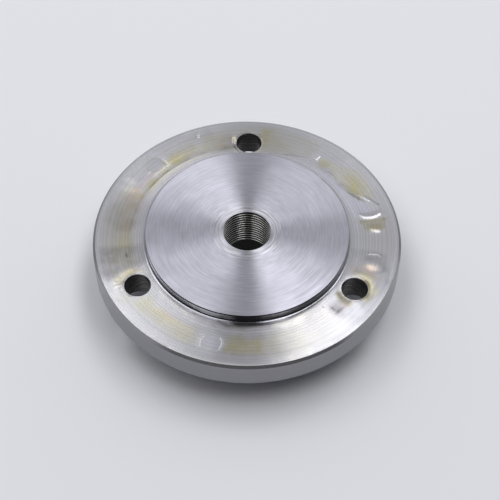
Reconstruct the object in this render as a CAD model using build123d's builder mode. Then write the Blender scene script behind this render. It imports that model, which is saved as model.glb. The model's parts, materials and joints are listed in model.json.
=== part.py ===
from build123d import *
import math
import os

# Lathe chuck backplate, turned from one piece of steel.
# It screws on a threaded spindle nose by its hub and carries a self-centring chuck on its front.
# +Z is the turning axis and points at the chuck. The origin is on that axis, at the end of the hub,
# where the plate stands on a bench. Lengths are in millimetres.

# Register that centres the chuck: a low, wide boss on the front of the flange
register_diameter = 55.0
register_height = 2.5
register_edge_chamfer = 0.2
register_foot_radius = 0.35

# Through holes for the chuck's bolts, the first one towards +Y
bolt_count = 3
first_bolt_angle = 90.0
bolt_hole_diameter = 7.0
bolt_hole_edge_chamfer = 0.1

# Flange that the chuck is bolted to: the plain land inside and outside the bolt holes sets its width
inner_land_width = 2.0
outer_land_width = 5.0
flange_thickness = 8.0
flange_edge_chamfer = 0.65

# Hub on the back of the flange, whose end comes to rest on the spindle's shoulder
hub_diameter = 30.0
hub_height = 10.0
hub_edge_chamfer = 0.5
hub_foot_radius = 1.0

# Spindle thread M14 x 1, cut from the front face down to the pilot bore
thread_diameter = 14.0
thread_pitch = 1.0
thread_entry_chamfer = 0.5

# Plain pilot bore at the hub's end, which slides over the collar behind the spindle's thread
pilot_clearance = 0.5
pilot_depth = 7.5
pilot_mouth_chamfer = 0.4

# Heights of the faces above the hub's end
seat_height = hub_height + flange_thickness
front_height = seat_height + register_height

# Bolt circle and the radii of the turned steps: 66 mm and an 83 mm rim with the sizes above
register_radius = register_diameter / 2
bolt_hole_radius = bolt_hole_diameter / 2
bolt_circle_radius = register_radius + inner_land_width + bolt_hole_radius
flange_radius = bolt_circle_radius + bolt_hole_radius + outer_land_width
hub_radius = hub_diameter / 2

# Radii of the bore behind the thread and of the one that the thread is cut in (basic minor diameter)
pilot_radius = (thread_diameter + pilot_clearance) / 2
thread_depth = 5 / 8 * thread_pitch * math.sqrt(3) / 2
thread_bore_radius = thread_diameter / 2 - thread_depth


def corner(section, radius, height):
    """The corner of the turned section at one radius and height."""
    return section.vertices().sort_by_distance((radius, height))[0]


with BuildPart() as backplate:
    # Half section of the turning, with its long side along the threaded bore
    with BuildSketch(Plane.XZ) as turned:
        with BuildLine():
            Polyline(
                (thread_bore_radius, front_height),
                (register_radius, front_height),
                (register_radius, seat_height),
                (flange_radius, seat_height),
                (flange_radius, hub_height),
                (hub_radius, hub_height),
                (hub_radius, 0),
                (pilot_radius, 0),
                (pilot_radius, pilot_depth),
                (thread_bore_radius, pilot_depth),
                close=True,
            )
        make_face()
        # Broken outer edges
        chamfer(corner(turned, flange_radius, seat_height), flange_edge_chamfer)
        chamfer(corner(turned, flange_radius, hub_height), flange_edge_chamfer)
        chamfer(corner(turned, register_radius, front_height), register_edge_chamfer)
        chamfer(corner(turned, hub_radius, 0), hub_edge_chamfer)
        # Lead-ins for the spindle
        chamfer(corner(turned, pilot_radius, 0), pilot_mouth_chamfer)
        chamfer(corner(turned, thread_bore_radius, pilot_depth), thread_entry_chamfer)
        # Round tool marks at the feet of the two steps
        fillet(corner(turned, register_radius, seat_height), register_foot_radius)
        fillet(corner(turned, hub_radius, hub_height), hub_foot_radius)
    revolve(axis=Axis.Z)

    # Bolt holes through the flange, with both mouths lightly broken
    with Locations(Plane.XY.offset(seat_height)):
        with PolarLocations(bolt_circle_radius, bolt_count, start_angle=first_bolt_angle):
            Hole(bolt_hole_radius)
    hole_walls = faces(Select.LAST).filter_by(GeomType.CYLINDER)
    chamfer(hole_walls.edges().filter_by(GeomType.CIRCLE), bolt_hole_edge_chamfer)

backplate.part.label = "backplate"

os.makedirs("parts", exist_ok=True)
export_step(backplate.part, "parts/backplate.step")
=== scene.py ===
"""Lathe chuck backplate, dressed as turned steel with dried oil on its flange, in a small photo studio.

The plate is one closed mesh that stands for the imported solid. It adds what the solid leaves out: the
spindle thread's turns, the fine rings of the turning tool and the relief of the dried oil. Lengths are
in metres, +Z is the turning axis, and +Y points at the first bolt hole.
"""

import json
import logging
import math
import random
from dataclasses import dataclass, field
from enum import Enum
from typing import Callable, Iterable, Sequence

import bmesh
import bpy
from mathutils import Matrix, Vector, noise
from mathutils.geometry import delaunay_2d_cdt


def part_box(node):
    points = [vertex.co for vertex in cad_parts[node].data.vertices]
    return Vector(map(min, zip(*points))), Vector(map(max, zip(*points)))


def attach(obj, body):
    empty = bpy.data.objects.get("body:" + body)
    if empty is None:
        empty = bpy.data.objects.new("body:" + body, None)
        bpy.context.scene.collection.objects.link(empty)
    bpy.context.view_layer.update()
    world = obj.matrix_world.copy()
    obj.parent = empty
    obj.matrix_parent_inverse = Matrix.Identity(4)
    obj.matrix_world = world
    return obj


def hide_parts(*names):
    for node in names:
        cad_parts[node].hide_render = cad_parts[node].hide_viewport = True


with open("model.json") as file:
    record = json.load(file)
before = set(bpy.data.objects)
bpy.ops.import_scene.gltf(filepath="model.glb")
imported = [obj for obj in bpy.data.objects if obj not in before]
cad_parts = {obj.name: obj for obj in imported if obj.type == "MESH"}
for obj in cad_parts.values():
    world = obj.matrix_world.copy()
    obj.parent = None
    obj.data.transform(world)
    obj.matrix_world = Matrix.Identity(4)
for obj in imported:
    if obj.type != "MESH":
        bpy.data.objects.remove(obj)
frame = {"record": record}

log = logging.getLogger("backplate")

MM = 0.001
NODE = "backplate"
BODY = "root"

Point = tuple[float, float]
Colour = tuple[float, float, float, float]
Socket = bpy.types.NodeSocket

WHITE: Colour = (1.0, 1.0, 1.0, 1.0)


def smooth_step(low: float, high: float, value: float) -> float:
    """Ease a value from 0 at low to 1 at high, where low may be the greater of the two."""
    share = min(max((value - low) / (high - low), 0.0), 1.0)
    return share * share * (3.0 - 2.0 * share)


def polar(radius: float, degrees: float) -> Vector:
    """Return the point of the plane at a radius and an angle from +X."""
    angle = math.radians(degrees)
    return Vector((radius * math.cos(angle), radius * math.sin(angle)))


def circle(radius: float, count: int, centre: Sequence[float] = (0.0, 0.0)) -> list[Vector]:
    """Return points evenly spaced on a circle.

    Args:
        radius: The circle's radius.
        count: Number of points.
        centre: The circle's centre.

    Returns:
        The points, anticlockwise from +X.
    """
    step = math.tau / count
    return [
        Vector((centre[0] + radius * math.cos(i * step), centre[1] + radius * math.sin(i * step)))
        for i in range(count)
    ]


class Region(Enum):
    """Surfaces of the plate that are finished differently, in the order of their material slots."""

    FACE = 0
    OILED = 1
    RIM = 2
    THREAD = 3
    HOLE = 4
    STEP = 5
    EDGE = 6


class OilAttribute(Enum):
    """The mesh's own point attributes that carry the dried oil, and the highlights and shade painted with
    it, to its material.
    """

    STAIN_AND_PAINTED_LIGHT = "stain"
    FILM = "film"


@dataclass(frozen=True)
class PlateSizes:
    """Sizes of the plate. The first ones are read from the frame, the rest repeat the solid's."""

    rim_radius: float
    front: float
    seat: float
    register_radius: float
    thread_radius: float
    thread_length: float
    pilot_radius: float
    hole_circle: float
    hole_radius: float
    hole_count: int
    first_hole: float = 90.0
    flange_thickness: float = 8.0 * MM
    rim_chamfer: float = 0.65 * MM
    register_chamfer: float = 0.2 * MM
    register_foot: float = 0.35 * MM
    hole_chamfer: float = 0.1 * MM
    hub_radius: float = 15.0 * MM
    hub_chamfer: float = 0.5 * MM
    hub_foot: float = 1.0 * MM
    pilot_chamfer: float = 0.4 * MM
    thread_entry: float = 0.5 * MM
    thread_pitch: float = 1.0 * MM

    @classmethod
    def from_frame(cls) -> "PlateSizes":
        """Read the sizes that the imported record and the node's box give.

        Returns:
            The plate's sizes.
        """
        _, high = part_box(NODE)
        mounts = {mount["name"]: mount for mount in frame["record"]["mounts"]}
        thread = mounts["spindle_thread"]["dims"]
        bolts = mounts["chuck_bolts"]
        return cls(
            rim_radius=high.x,
            front=high.z,
            seat=bolts["pos_m"][2],
            register_radius=mounts["chuck_register"]["dims"]["r_mm"] * MM,
            thread_radius=thread["r_mm"] * MM,
            thread_length=thread["length_mm"] * MM,
            pilot_radius=mounts["pilot_bore"]["dims"]["r_mm"] * MM,
            hole_circle=bolts["dims"]["pcd_mm"] * MM / 2,
            hole_radius=bolts["dims"]["hole_r_mm"] * MM,
            hole_count=bolts["dims"]["count"],
        )

    @property
    def back(self) -> float:
        """Height of the flange's back face."""
        return self.seat - self.flange_thickness

    @property
    def thread_start(self) -> float:
        """Height of the thread's inner end."""
        return self.front - self.thread_length

    @property
    def foot_radius(self) -> float:
        """Radius at which the register's foot runs out on the flange."""
        return self.register_radius + self.register_foot

    @property
    def land_radius(self) -> float:
        """Outer radius of the flange's flat faces."""
        return self.rim_radius - self.rim_chamfer

    @property
    def hole_mouth(self) -> float:
        """Radius of a bolt hole's broken mouth."""
        return self.hole_radius + self.hole_chamfer

    def hole_centres(self) -> list[Vector]:
        """Return the bolt holes' centres, the first one towards +Y."""
        step = 360.0 / self.hole_count
        return [polar(self.hole_circle, self.first_hole + i * step) for i in range(self.hole_count)]


class Sheet:
    """A node tree that is filled by short calls."""

    MIX_SHARE, MIX_FIRST, MIX_SECOND, MIX_RESULT = 0, 6, 7, 2
    NOISE_SPAN = (0.3, 0.7)

    def __init__(self, tree: bpy.types.NodeTree) -> None:
        """Start on an empty tree."""
        self.tree = tree
        tree.nodes.clear()

    def add(self, kind: str, inputs: dict | None = None, **settings: object) -> bpy.types.Node:
        """Add a node.

        Args:
            kind: The node's type name.
            inputs: Value or linked socket for each input, by name or number.
            settings: Properties of the node.

        Returns:
            The new node.
        """
        node = self.tree.nodes.new(kind)
        for name, value in settings.items():
            setattr(node, name, value)
        for key, value in (inputs or {}).items():
            if isinstance(value, bpy.types.NodeSocket):
                self.link(value, node.inputs[key])
            else:
                node.inputs[key].default_value = value
        return node

    def link(self, source: Socket, target: Socket) -> None:
        """Link a result to an input, in place of what was there."""
        self.tree.links.new(source, target)

    def math(self, operation: str, *values: object, clamp: bool = False) -> Socket:
        """Add a math node on one to three values or sockets and return its result."""
        inputs = dict(enumerate(values))
        return self.add("ShaderNodeMath", inputs, operation=operation, use_clamp=clamp).outputs[0]

    def vector(self, operation: str, *values: object) -> bpy.types.Node:
        """Add a vector math node on one or two vectors and return the node."""
        return self.add("ShaderNodeVectorMath", dict(enumerate(values)), operation=operation)

    def blend(self, share: object, first: object, second: object, mode: str = "MIX") -> Socket:
        """Mix two colours by a share and return the result."""
        inputs = {self.MIX_SHARE: share, self.MIX_FIRST: first, self.MIX_SECOND: second}
        return self.add("ShaderNodeMix", inputs, data_type="RGBA", blend_type=mode).outputs[self.MIX_RESULT]

    def times(self, first: object, second: object) -> Socket:
        """Return the product of two colours."""
        return self.blend(1.0, first, second, "MULTIPLY")

    def grey(self, shade: Socket) -> Socket:
        """Return the grey of a lightness."""
        return self.add("ShaderNodeCombineColor", {0: shade, 1: shade, 2: shade}).outputs[0]

    def span(self, value: object, low: float, high: float, first: float, last: float) -> Socket:
        """Map a value from one range to another, smoothly and clamped."""
        inputs = {"Value": value, "From Min": low, "From Max": high, "To Min": first, "To Max": last}
        return self.add("ShaderNodeMapRange", inputs, interpolation_type="SMOOTHSTEP").outputs[0]

    def sway(self, source: Socket, first: float, last: float) -> Socket:
        """Map noise, which seldom leaves its middle range, to another range."""
        return self.span(source, *self.NOISE_SPAN, first, last)

    def place(self) -> Socket:
        """Return the place on the piece, in its own coordinates."""
        return self.add("ShaderNodeTexCoord").outputs["Object"]

    def flat_place(self) -> Socket:
        """Return the place on the piece without its height."""
        return self.vector("MULTIPLY", self.place(), (1.0, 1.0, 0.0)).outputs[0]

    def clouds(self, place: Socket, scale: float, detail: float) -> Socket:
        """Return soft noise at a place."""
        inputs = {"Vector": place, "Scale": scale, "Detail": detail}
        return self.add("ShaderNodeTexNoise", inputs).outputs[0]


@dataclass(frozen=True)
class TurnedFinish:
    """Steel as the turning tool leaves it, in rings that stretch each highlight across them.

    Scales are in waves per metre, and a tone is how far a value goes up and down from its mean.
    """

    name: str
    colour: Colour
    roughness: float
    anisotropy: float
    ring_scale: float = 3400.0
    ring_depth: float = 1.2e-6
    tone: float = 0.12
    metallic: float = 0.85
    coat_roughness: float = 0.26
    coat_ior: float = 1.45
    highlight_turn: float = 0.25
    ring_detail: float = 3.0
    ring_sharpness: float = 0.7
    broad_rings: float = 6.0
    broad_height: float = 2.0
    roughness_tone: float = 0.1
    tone_span: tuple[float, float] = (0.25, 0.75)

    def ring_coordinate(self, sheet: Sheet) -> Socket:
        """Return a coordinate that is constant along each ring: the radius plus the height.

        Args:
            sheet: The material's node tree.

        Returns:
            The coordinate, in metres.
        """
        axes = sheet.add("ShaderNodeSeparateXYZ", {0: sheet.place()})
        square = sheet.math("MULTIPLY", axes.outputs["X"], axes.outputs["X"])
        both = sheet.math("MULTIPLY_ADD", axes.outputs["Y"], axes.outputs["Y"], square)
        return sheet.math("ADD", sheet.math("SQRT", both), axes.outputs["Z"])

    def ring_noise(self, sheet: Sheet, ring: Socket, scale: float) -> Socket:
        """Return noise at a scale that only changes from ring to ring."""
        inputs = {"W": ring, "Scale": scale, "Detail": self.ring_detail, "Roughness": self.ring_sharpness}
        return sheet.add("ShaderNodeTexNoise", inputs, noise_dimensions="1D").outputs[0]

    def base(self, sheet: Sheet, rings: Socket) -> Socket:
        """Return the steel's colour, a little lighter and darker from ring to ring."""
        shade = sheet.span(rings, *self.tone_span, 1.0 - self.tone, 1.0 + self.tone)
        return sheet.times(self.colour, sheet.grey(shade))

    def rough(self, sheet: Sheet, rings: Socket, ring: Socket) -> Socket:
        """Return the roughness, a little higher and lower from ring to ring."""
        low, high = 1.0 - self.roughness_tone, 1.0 + self.roughness_tone
        return sheet.sway(rings, self.roughness * low, self.roughness * high)

    def dress(self, sheet: Sheet, shader: bpy.types.Node, steel: Socket) -> None:
        """Hook for finishes that lie over the steel's colour."""

    def material(self) -> bpy.types.Material:
        """Build the material.

        Returns:
            The new material.
        """
        material = bpy.data.materials.new(self.name)
        material.use_nodes = True
        sheet = Sheet(material.node_tree)
        ring = self.ring_coordinate(sheet)
        fine = self.ring_noise(sheet, ring, self.ring_scale)
        broad = self.ring_noise(sheet, ring, self.ring_scale / self.broad_rings)
        height = sheet.math("MULTIPLY_ADD", broad, self.broad_height, fine)
        bump = sheet.add("ShaderNodeBump", {"Strength": 1.0, "Distance": self.ring_depth, "Height": height})
        tangent = sheet.add("ShaderNodeTangent", direction_type="RADIAL", axis="Z")
        steel = self.base(sheet, fine)
        shader = sheet.add(
            "ShaderNodeBsdfPrincipled",
            {
                "Base Color": steel,
                "Metallic": self.metallic,
                "Roughness": self.rough(sheet, broad, ring),
                "Anisotropic": self.anisotropy,
                "Anisotropic Rotation": self.highlight_turn,
                "Normal": bump.outputs[0],
                "Tangent": tangent.outputs[0],
                "Coat Roughness": self.coat_roughness,
                "Coat IOR": self.coat_ior,
            },
        )
        self.dress(sheet, shader, steel)
        sheet.add("ShaderNodeOutputMaterial", {0: shader.outputs[0]})
        return material


@dataclass(frozen=True)
class RegisterFinish(TurnedFinish):
    """The register's face: arcs that fade in and out along the rings, boldest near the bore, and clouds.

    The bold part is given on the ring coordinate. There the arcs are long, the tool's feed shows as
    waves, and the steel is rougher and a little paler.
    """

    inner_turns: float = 1.2
    outer_turns: float = 4.0
    arc_scale: float = 2600.0
    arc_detail: float = 2.0
    bold_tone: float = 0.3
    plain_tone: float = 0.08
    bold_inner: float = 27.0 * MM
    bold_outer: float = 31.5 * MM
    bold_roughness: float = 1.15
    feed: float = 0.95 * MM
    feed_tone: float = 0.08
    halo: Colour = (1.15, 1.145, 1.1, 1.0)
    cloud_tone: float = 0.05
    cloud_scale: float = 190.0
    cloud_detail: float = 6.0

    def from_bore(self, sheet: Sheet, ring: Socket, near: float, far: float) -> Socket:
        """Return a value that goes from near to far over the bold part, outwards from the bore."""
        return sheet.span(ring, self.bold_inner, self.bold_outer, near, far)

    def rough(self, sheet: Sheet, rings: Socket, ring: Socket) -> Socket:
        """Return the roughness, higher on the ring round the bore, where the tool was run out."""
        plain = super().rough(sheet, rings, ring)
        return sheet.math("MULTIPLY", plain, self.from_bore(sheet, ring, self.bold_roughness, 1.0))

    def arcs(self, sheet: Sheet, ring: Socket) -> Socket:
        """Return noise drawn out along the rings, each arc a part of a turn long.

        Args:
            sheet: The material's node tree.
            ring: The ring coordinate.

        Returns:
            The noise.
        """
        way = sheet.vector("NORMALIZE", sheet.flat_place()).outputs[0]
        turns = self.from_bore(sheet, ring, self.inner_turns, self.outer_turns)
        turned = sheet.add("ShaderNodeVectorMath", {0: way, "Scale": turns}, operation="SCALE").outputs[0]
        axes = sheet.add("ShaderNodeSeparateXYZ", {0: turned}).outputs
        depth = sheet.math("MULTIPLY", ring, self.arc_scale)
        point = sheet.add("ShaderNodeCombineXYZ", {0: axes[0], 1: axes[1], 2: depth}).outputs[0]
        return sheet.clouds(point, 1.0, self.arc_detail)

    def dress(self, sheet: Sheet, shader: bpy.types.Node, steel: Socket) -> None:
        """Shade the steel by its arcs, its feed waves and its clouds, and make it paler at the bore.

        Args:
            sheet: The material's node tree.
            shader: The steel's shader.
            steel: The steel's plain colour.
        """
        ring = self.ring_coordinate(sheet)
        arc = sheet.sway(self.arcs(sheet, ring), -1.0, 1.0)
        strength = self.from_bore(sheet, ring, self.bold_tone, self.plain_tone)
        cloud = sheet.clouds(sheet.place(), self.cloud_scale, self.cloud_detail)
        haze = sheet.sway(cloud, 1.0 - self.cloud_tone, 1.0 + self.cloud_tone)
        near = self.from_bore(sheet, ring, 1.0, 0.0)
        wave = sheet.math("SINE", sheet.math("MULTIPLY", ring, math.tau / self.feed))
        feed = sheet.math("MULTIPLY", wave, sheet.math("MULTIPLY", near, self.feed_tone))
        shade = sheet.math("ADD", sheet.math("MULTIPLY_ADD", arc, strength, haze), feed)
        shaded = sheet.times(steel, sheet.grey(shade))
        pale = sheet.blend(near, WHITE, self.halo)
        sheet.link(sheet.times(shaded, pale), shader.inputs["Base Color"])


@dataclass(frozen=True)
class ThreadFinish(TurnedFinish):
    """The bore's steel, with painted shade on the crest and in the groove, and a painted highlight between.
    """

    crest_radius: float = 6.462 * MM
    edge_radius: float = 6.472 * MM
    groove_shade_radius: float = 6.495 * MM
    dark_radius: float = 6.57 * MM
    crest_dark: float = 0.95
    painted_shade_colour: Colour = (0.02, 0.02, 0.018, 1.0)

    def dress(self, sheet: Sheet, shader: bpy.types.Node, steel: Socket) -> None:
        """Paint shade on crests, grooves and pilot bore, leaving a painted highlight at each crest's edge.

        Args:
            sheet: The material's node tree.
            shader: The steel's shader.
            steel: The steel's plain colour.
        """
        radius = sheet.vector("LENGTH", sheet.flat_place()).outputs["Value"]
        # Painted shade on the crest and from the groove's flanks inwards, the pilot bore all dark, and a
        # painted highlight between
        crest = sheet.span(radius, self.crest_radius, self.edge_radius, self.crest_dark, 0.0)
        groove = sheet.span(radius, self.groove_shade_radius, self.dark_radius, 0.0, 1.0)
        depth = sheet.math("MAXIMUM", crest, groove)
        sheet.link(sheet.blend(depth, steel, self.painted_shade_colour), shader.inputs["Base Color"])


@dataclass(frozen=True)
class OiledFinish(TurnedFinish):
    """Turned steel under dried oil, whose stain, with painted highlights and shade, and thickness are in
    the mesh's attributes.
    """

    smooth_ring: float = 46.3 * MM
    plain_ring: float = 47.6 * MM
    smooth_share: float = 0.62
    cloud_scale: float = 420.0
    cloud_detail: float = 4.0
    least_stain: float = 0.72
    least_coat: float = 0.2

    def rough(self, sheet: Sheet, rings: Socket, ring: Socket) -> Socket:
        """Return the roughness, lower on the smooth ring that the tool left at the register's foot.

        Args:
            sheet: The material's node tree.
            rings: Noise that changes from ring to ring.
            ring: The ring coordinate.

        Returns:
            The roughness.
        """
        plain = super().rough(sheet, rings, ring)
        share = sheet.span(ring, self.smooth_ring, self.plain_ring, self.smooth_share, 1.0)
        return sheet.math("MULTIPLY", plain, share)

    def dress(self, sheet: Sheet, shader: bpy.types.Node, steel: Socket) -> None:
        """Lay the oil's stain, with its painted highlights and shade, and its gloss over the steel.

        Args:
            sheet: The material's node tree.
            shader: The steel's shader.
            steel: The steel's plain colour.
        """
        cloud = sheet.clouds(sheet.place(), self.cloud_scale, self.cloud_detail)
        stain = sheet.add("ShaderNodeAttribute", attribute_name=OilAttribute.STAIN_AND_PAINTED_LIGHT.value).outputs["Color"]
        stained_and_lit_steel = sheet.times(steel, stain)
        colour = sheet.blend(sheet.sway(cloud, self.least_stain, 1.0), steel, stained_and_lit_steel)
        film = sheet.add("ShaderNodeAttribute", attribute_name=OilAttribute.FILM.value).outputs["Fac"]
        sheet.link(colour, shader.inputs["Base Color"])
        sheet.link(sheet.span(film, 0.0, 1.0, self.least_coat, 1.0), shader.inputs["Coat Weight"])


@dataclass(frozen=True)
class EdgeFinish(TurnedFinish):
    """The rim's broken edge: plain steel on the camera's side, painted highlight beside that, painted shade
    round the rest.
    """

    camera_way: tuple[float, float, float] = (0.07, -0.998, 0.0)
    highlight_cosine: float = 0.75
    camera_cosine: float = 0.88
    highlight_metallic: float = 0.15
    painted_highlight_colour: Colour = (0.86, 0.86, 0.84, 1.0)
    dark_cosine: float = 0.1
    pale_cosine: float = 0.35
    dark_share: float = 0.42

    def dress(self, sheet: Sheet, shader: bpy.types.Node, steel: Socket) -> None:
        """Paint a highlight on the edge beside its side towards the camera, and shade further round.

        Args:
            sheet: The material's node tree.
            shader: The steel's shader.
            steel: The steel's plain colour.
        """
        way = sheet.vector("NORMALIZE", sheet.flat_place()).outputs[0]
        cosine = sheet.vector("DOT_PRODUCT", way, self.camera_way).outputs["Value"]
        # Plain steel towards the camera, a pale, nearly diffuse painted highlight beside it, and painted
        # shade further round
        share = sheet.span(cosine, self.highlight_cosine, self.camera_cosine, 0.0, 1.0)
        metal = sheet.span(
            cosine, self.highlight_cosine, self.camera_cosine, self.highlight_metallic, self.metallic
        )
        shade = sheet.span(cosine, self.dark_cosine, self.pale_cosine, self.dark_share, 1.0)
        painted_edge = sheet.times(sheet.times(steel, self.painted_highlight_colour), sheet.grey(shade))
        sheet.link(sheet.blend(share, painted_edge, steel), shader.inputs["Base Color"])
        sheet.link(metal, shader.inputs["Metallic"])


FINISHES: dict[Region, TurnedFinish] = {
    Region.FACE: RegisterFinish("turned_face_steel", (0.482, 0.479, 0.55, 1.0), 0.355, 1.0, tone=0.07),
    Region.OILED: OiledFinish(
        "oiled_flange_steel", (0.505, 0.502, 0.542, 1.0), 0.24, 0.9, tone=0.13, metallic=0.92
    ),
    # Darker than the face's steel: painted shade for the shadowed table that the rim's side mirrors; the
    # hub and the back share it
    Region.RIM: TurnedFinish("turned_rim_steel", (0.335, 0.335, 0.35, 1.0), 0.34, 0.8, 2600.0, 1.6e-6),
    # Near white and little metallic, so that the crest edges shine as a painted highlight
    Region.THREAD: ThreadFinish(
        "threaded_bore_steel", (0.95, 0.95, 0.94, 1.0), 0.19, 0.8, ring_depth=1e-8, metallic=0.25
    ),
    # Near black: painted shade inside the bolt holes
    Region.HOLE: TurnedFinish(
        "drilled_hole_steel", (0.14, 0.135, 0.13, 1.0), 0.3, 0.3, 1600.0, 6e-6, tone=0.6
    ),
    # Darker than the face's steel: painted shade on the register's wall and foot
    Region.STEP: TurnedFinish(
        "turned_step_steel", (0.3, 0.3, 0.33, 1.0), 0.15, 0.5, metallic=1.0, tone=0.3
    ),
    Region.EDGE: EdgeFinish(
        "broken_edge_steel", (0.46, 0.46, 0.49, 1.0), 0.27, 0.5, metallic=0.8, tone=0.2
    ),
}


class StainAndPaintedLight(Enum):
    """What dried oil, painted highlight and painted shade do to the steel: its share of red, green and
    blue.
    """

    AMBER = (1.03, 0.99, 0.62)
    OLIVE = (0.84, 0.79, 0.55)
    BLUSH = (1.02, 0.90, 0.82)
    PALE_RESIDUE_AND_HIGHLIGHT = (1.55, 1.52, 1.42)
    BARE = (0.98, 0.97, 1.12)
    GREY = (0.70, 0.70, 0.71)
    DARK_RESIDUE_AND_SHADE = (0.25, 0.23, 0.18)


@dataclass(frozen=True)
class OilMark:
    """A mark on the flange: mostly dried oil and the tool's work under it, some painted highlight and
    shade.

    Lengths are in millimetres. The edge is half the width over which the mark fades, the waviness is
    how far its outline wanders, and the film is the oil's share of its full thickness inside it.
    """

    LONG_WAVE = 3 * MM
    SHORT_WAVE = 0.9 * MM
    SHORT_SHARE = 0.4

    stain: StainAndPaintedLight
    strength: float
    edge: float
    waviness: float
    film: float

    def distance(self, place: Vector) -> float:
        """Return how far a point lies outside the mark's plain outline, in millimetres."""
        raise NotImplementedError

    def cover(self, place: Vector) -> float:
        """Return how much of the mark lies over a point.

        Args:
            place: The point, in metres.

        Returns:
            The mark's share there, from 0 to 1.
        """
        away = self.distance(place)
        if away > self.edge + self.waviness:
            return 0.0
        long, short = self.LONG_WAVE, self.SHORT_WAVE
        wave = noise.noise(Vector((place.x / long, place.y / long, self.strength)))
        ripple = noise.noise(Vector((place.x / short, place.y / short, self.strength)))
        wander = self.waviness * (wave + self.SHORT_SHARE * ripple)
        return smooth_step(self.edge, -self.edge, away + wander)


@dataclass(frozen=True)
class OilSpot(OilMark):
    """An oval mark, with its half sizes along the radius and across it."""

    radius: float
    angle: float
    length: float
    width: float

    def distance(self, place: Vector) -> float:
        """Return the distance from the oval.

        Args:
            place: The point, in metres.

        Returns:
            The distance in millimetres, less than 0 inside the oval.
        """
        out = polar(1.0, self.angle)
        step = place / MM - out * self.radius
        along, across = step.dot(out), step.dot(Vector((-out.y, out.x)))
        return (math.hypot(along / self.length, across / self.width) - 1.0) * min(self.length, self.width)


@dataclass(frozen=True)
class OilBand(OilMark):
    """A long mark round the axis. Each station is an angle with the band's inner and outer radius there."""

    stations: tuple[tuple[float, float, float], ...]

    def distance(self, place: Vector) -> float:
        """Return the distance from the band.

        Args:
            place: The point, in metres.

        Returns:
            The distance in millimetres, less than 0 inside the band.
        """
        radius = place.length / MM
        first = self.stations[0][0]
        run = self.stations[-1][0] - first
        turn = (math.degrees(math.atan2(place.y, place.x)) - first) % 360.0
        turn = turn if turn < (360.0 + run) / 2 else turn - 360.0
        for (start, inner, outer), (end, next_inner, next_outer) in zip(self.stations, self.stations[1:]):
            if turn <= end - first:
                break
        share = smooth_step(start - first, end - first, turn)
        short = inner + (next_inner - inner) * share - radius
        beyond = radius - outer - (next_outer - outer) * share
        across = max(short, beyond)
        along = math.radians(max(-turn, turn - run)) * radius
        return math.hypot(across, along) if min(across, along) > 0.0 else max(across, along)


@dataclass(frozen=True)
class OilArc(OilMark):
    """A mark that runs round a place, at a distance from it and between two directions in degrees."""

    centre: Point
    reach: float
    width: float
    first: float
    last: float

    def distance(self, place: Vector) -> float:
        """Return the distance from the arc.

        Args:
            place: The point, in metres.

        Returns:
            The distance in millimetres, less than 0 inside the arc.
        """
        step = place / MM - polar(*self.centre)
        way = (math.degrees(math.atan2(step.y, step.x)) - self.first) % 360.0
        run = self.last - self.first
        past = min(max(way - run, 0.0), 360.0 - way)
        across = abs(step.length - self.reach) - self.width
        return max(across, math.radians(past) * step.length + across / 2) if past > 0.0 else across


@dataclass(frozen=True)
class OilRidge:
    """A raised lip that the oil left where it drew back, along a short bowed line.

    Each end is a radius and an angle. Lengths are in millimetres, and the reaches are in widths.
    """

    GRID_CELLS = 3.0
    GRID_END = 1.6
    GRID_SIDE = 6
    COVER_END, COVER_SIDE = 1.9, 2.4
    RISE_END, RISE_SIDE = 2.0, 3.0
    WAVE_LENGTH = 0.8 * MM
    WAVE_WIDTH = 0.12

    start: Point
    end: Point
    height: float
    width: float
    bow: float

    def offsets(self, place: Vector) -> tuple[float, float]:
        """Measure a point from the line.

        Args:
            place: The point, in metres.

        Returns:
            How far it lies past the line's ends and to its side, in millimetres.
        """
        a, b = polar(*self.start), polar(*self.end)
        run = b - a
        step = place / MM - a
        share = step.dot(run) / run.length_squared
        over = max(-share, share - 1.0, 0.0) * run.length
        bulge = self.bow * 4.0 * share * (1.0 - share)
        return over, step.dot(Vector((-run.y, run.x))) / run.length - bulge

    def covers(self, place: Vector) -> bool:
        """Say whether a point lies where the lip has a grid of its own."""
        over, side = self.offsets(place)
        return over < self.COVER_END * self.width and abs(side) < self.COVER_SIDE * self.width

    def grid(self) -> list[Vector]:
        """Lay out a fine grid of points along the lip.

        Returns:
            The points, in metres.
        """
        a, b = polar(*self.start), polar(*self.end)
        run = b - a
        aside = Vector((-run.y, run.x)) / run.length
        step = self.width / self.GRID_CELLS
        ends = math.ceil(self.GRID_END * self.width / step)
        count = round(run.length / step)
        points = []
        for i in range(-ends, count + ends + 1):
            share = i / count
            middle = a + run * share + aside * self.bow * 4.0 * share * (1.0 - share)
            points += [(middle + aside * step * j) * MM for j in range(-self.GRID_SIDE, self.GRID_SIDE + 1)]
        return points

    def rise(self, place: Vector) -> float:
        """Return the lip's height at a point.

        Args:
            place: The point, in metres.

        Returns:
            The height, in metres.
        """
        over, side = self.offsets(place)
        if over > self.RISE_END * self.width or abs(side) > self.RISE_SIDE * self.width:
            return 0.0
        length = self.WAVE_LENGTH
        wave = self.WAVE_WIDTH * noise.noise(Vector((place.x / length, place.y / length, self.height)))
        return self.height * MM * math.exp(-((side + wave) ** 2 + over**2) / self.width**2)


def spot(
    stain: StainAndPaintedLight, strength: float, radius: float, angle: float, length: float, width: float,
    edge: float = 0.5, waviness: float = 0.3, film: float = 0.5,
) -> OilSpot:
    """Return an oval mark, with its place and half sizes in millimetres and degrees."""
    return OilSpot(stain, strength, edge, waviness, film, radius, angle, length, width)


def band(
    stain: StainAndPaintedLight, strength: float, *stations: tuple[float, float, float],
    edge: float = 0.6, waviness: float = 0.3, film: float = 0.5,
) -> OilBand:
    """Return a long mark through its stations: angle, inner radius and outer radius of each."""
    return OilBand(stain, strength, edge, waviness, film, stations)


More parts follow.
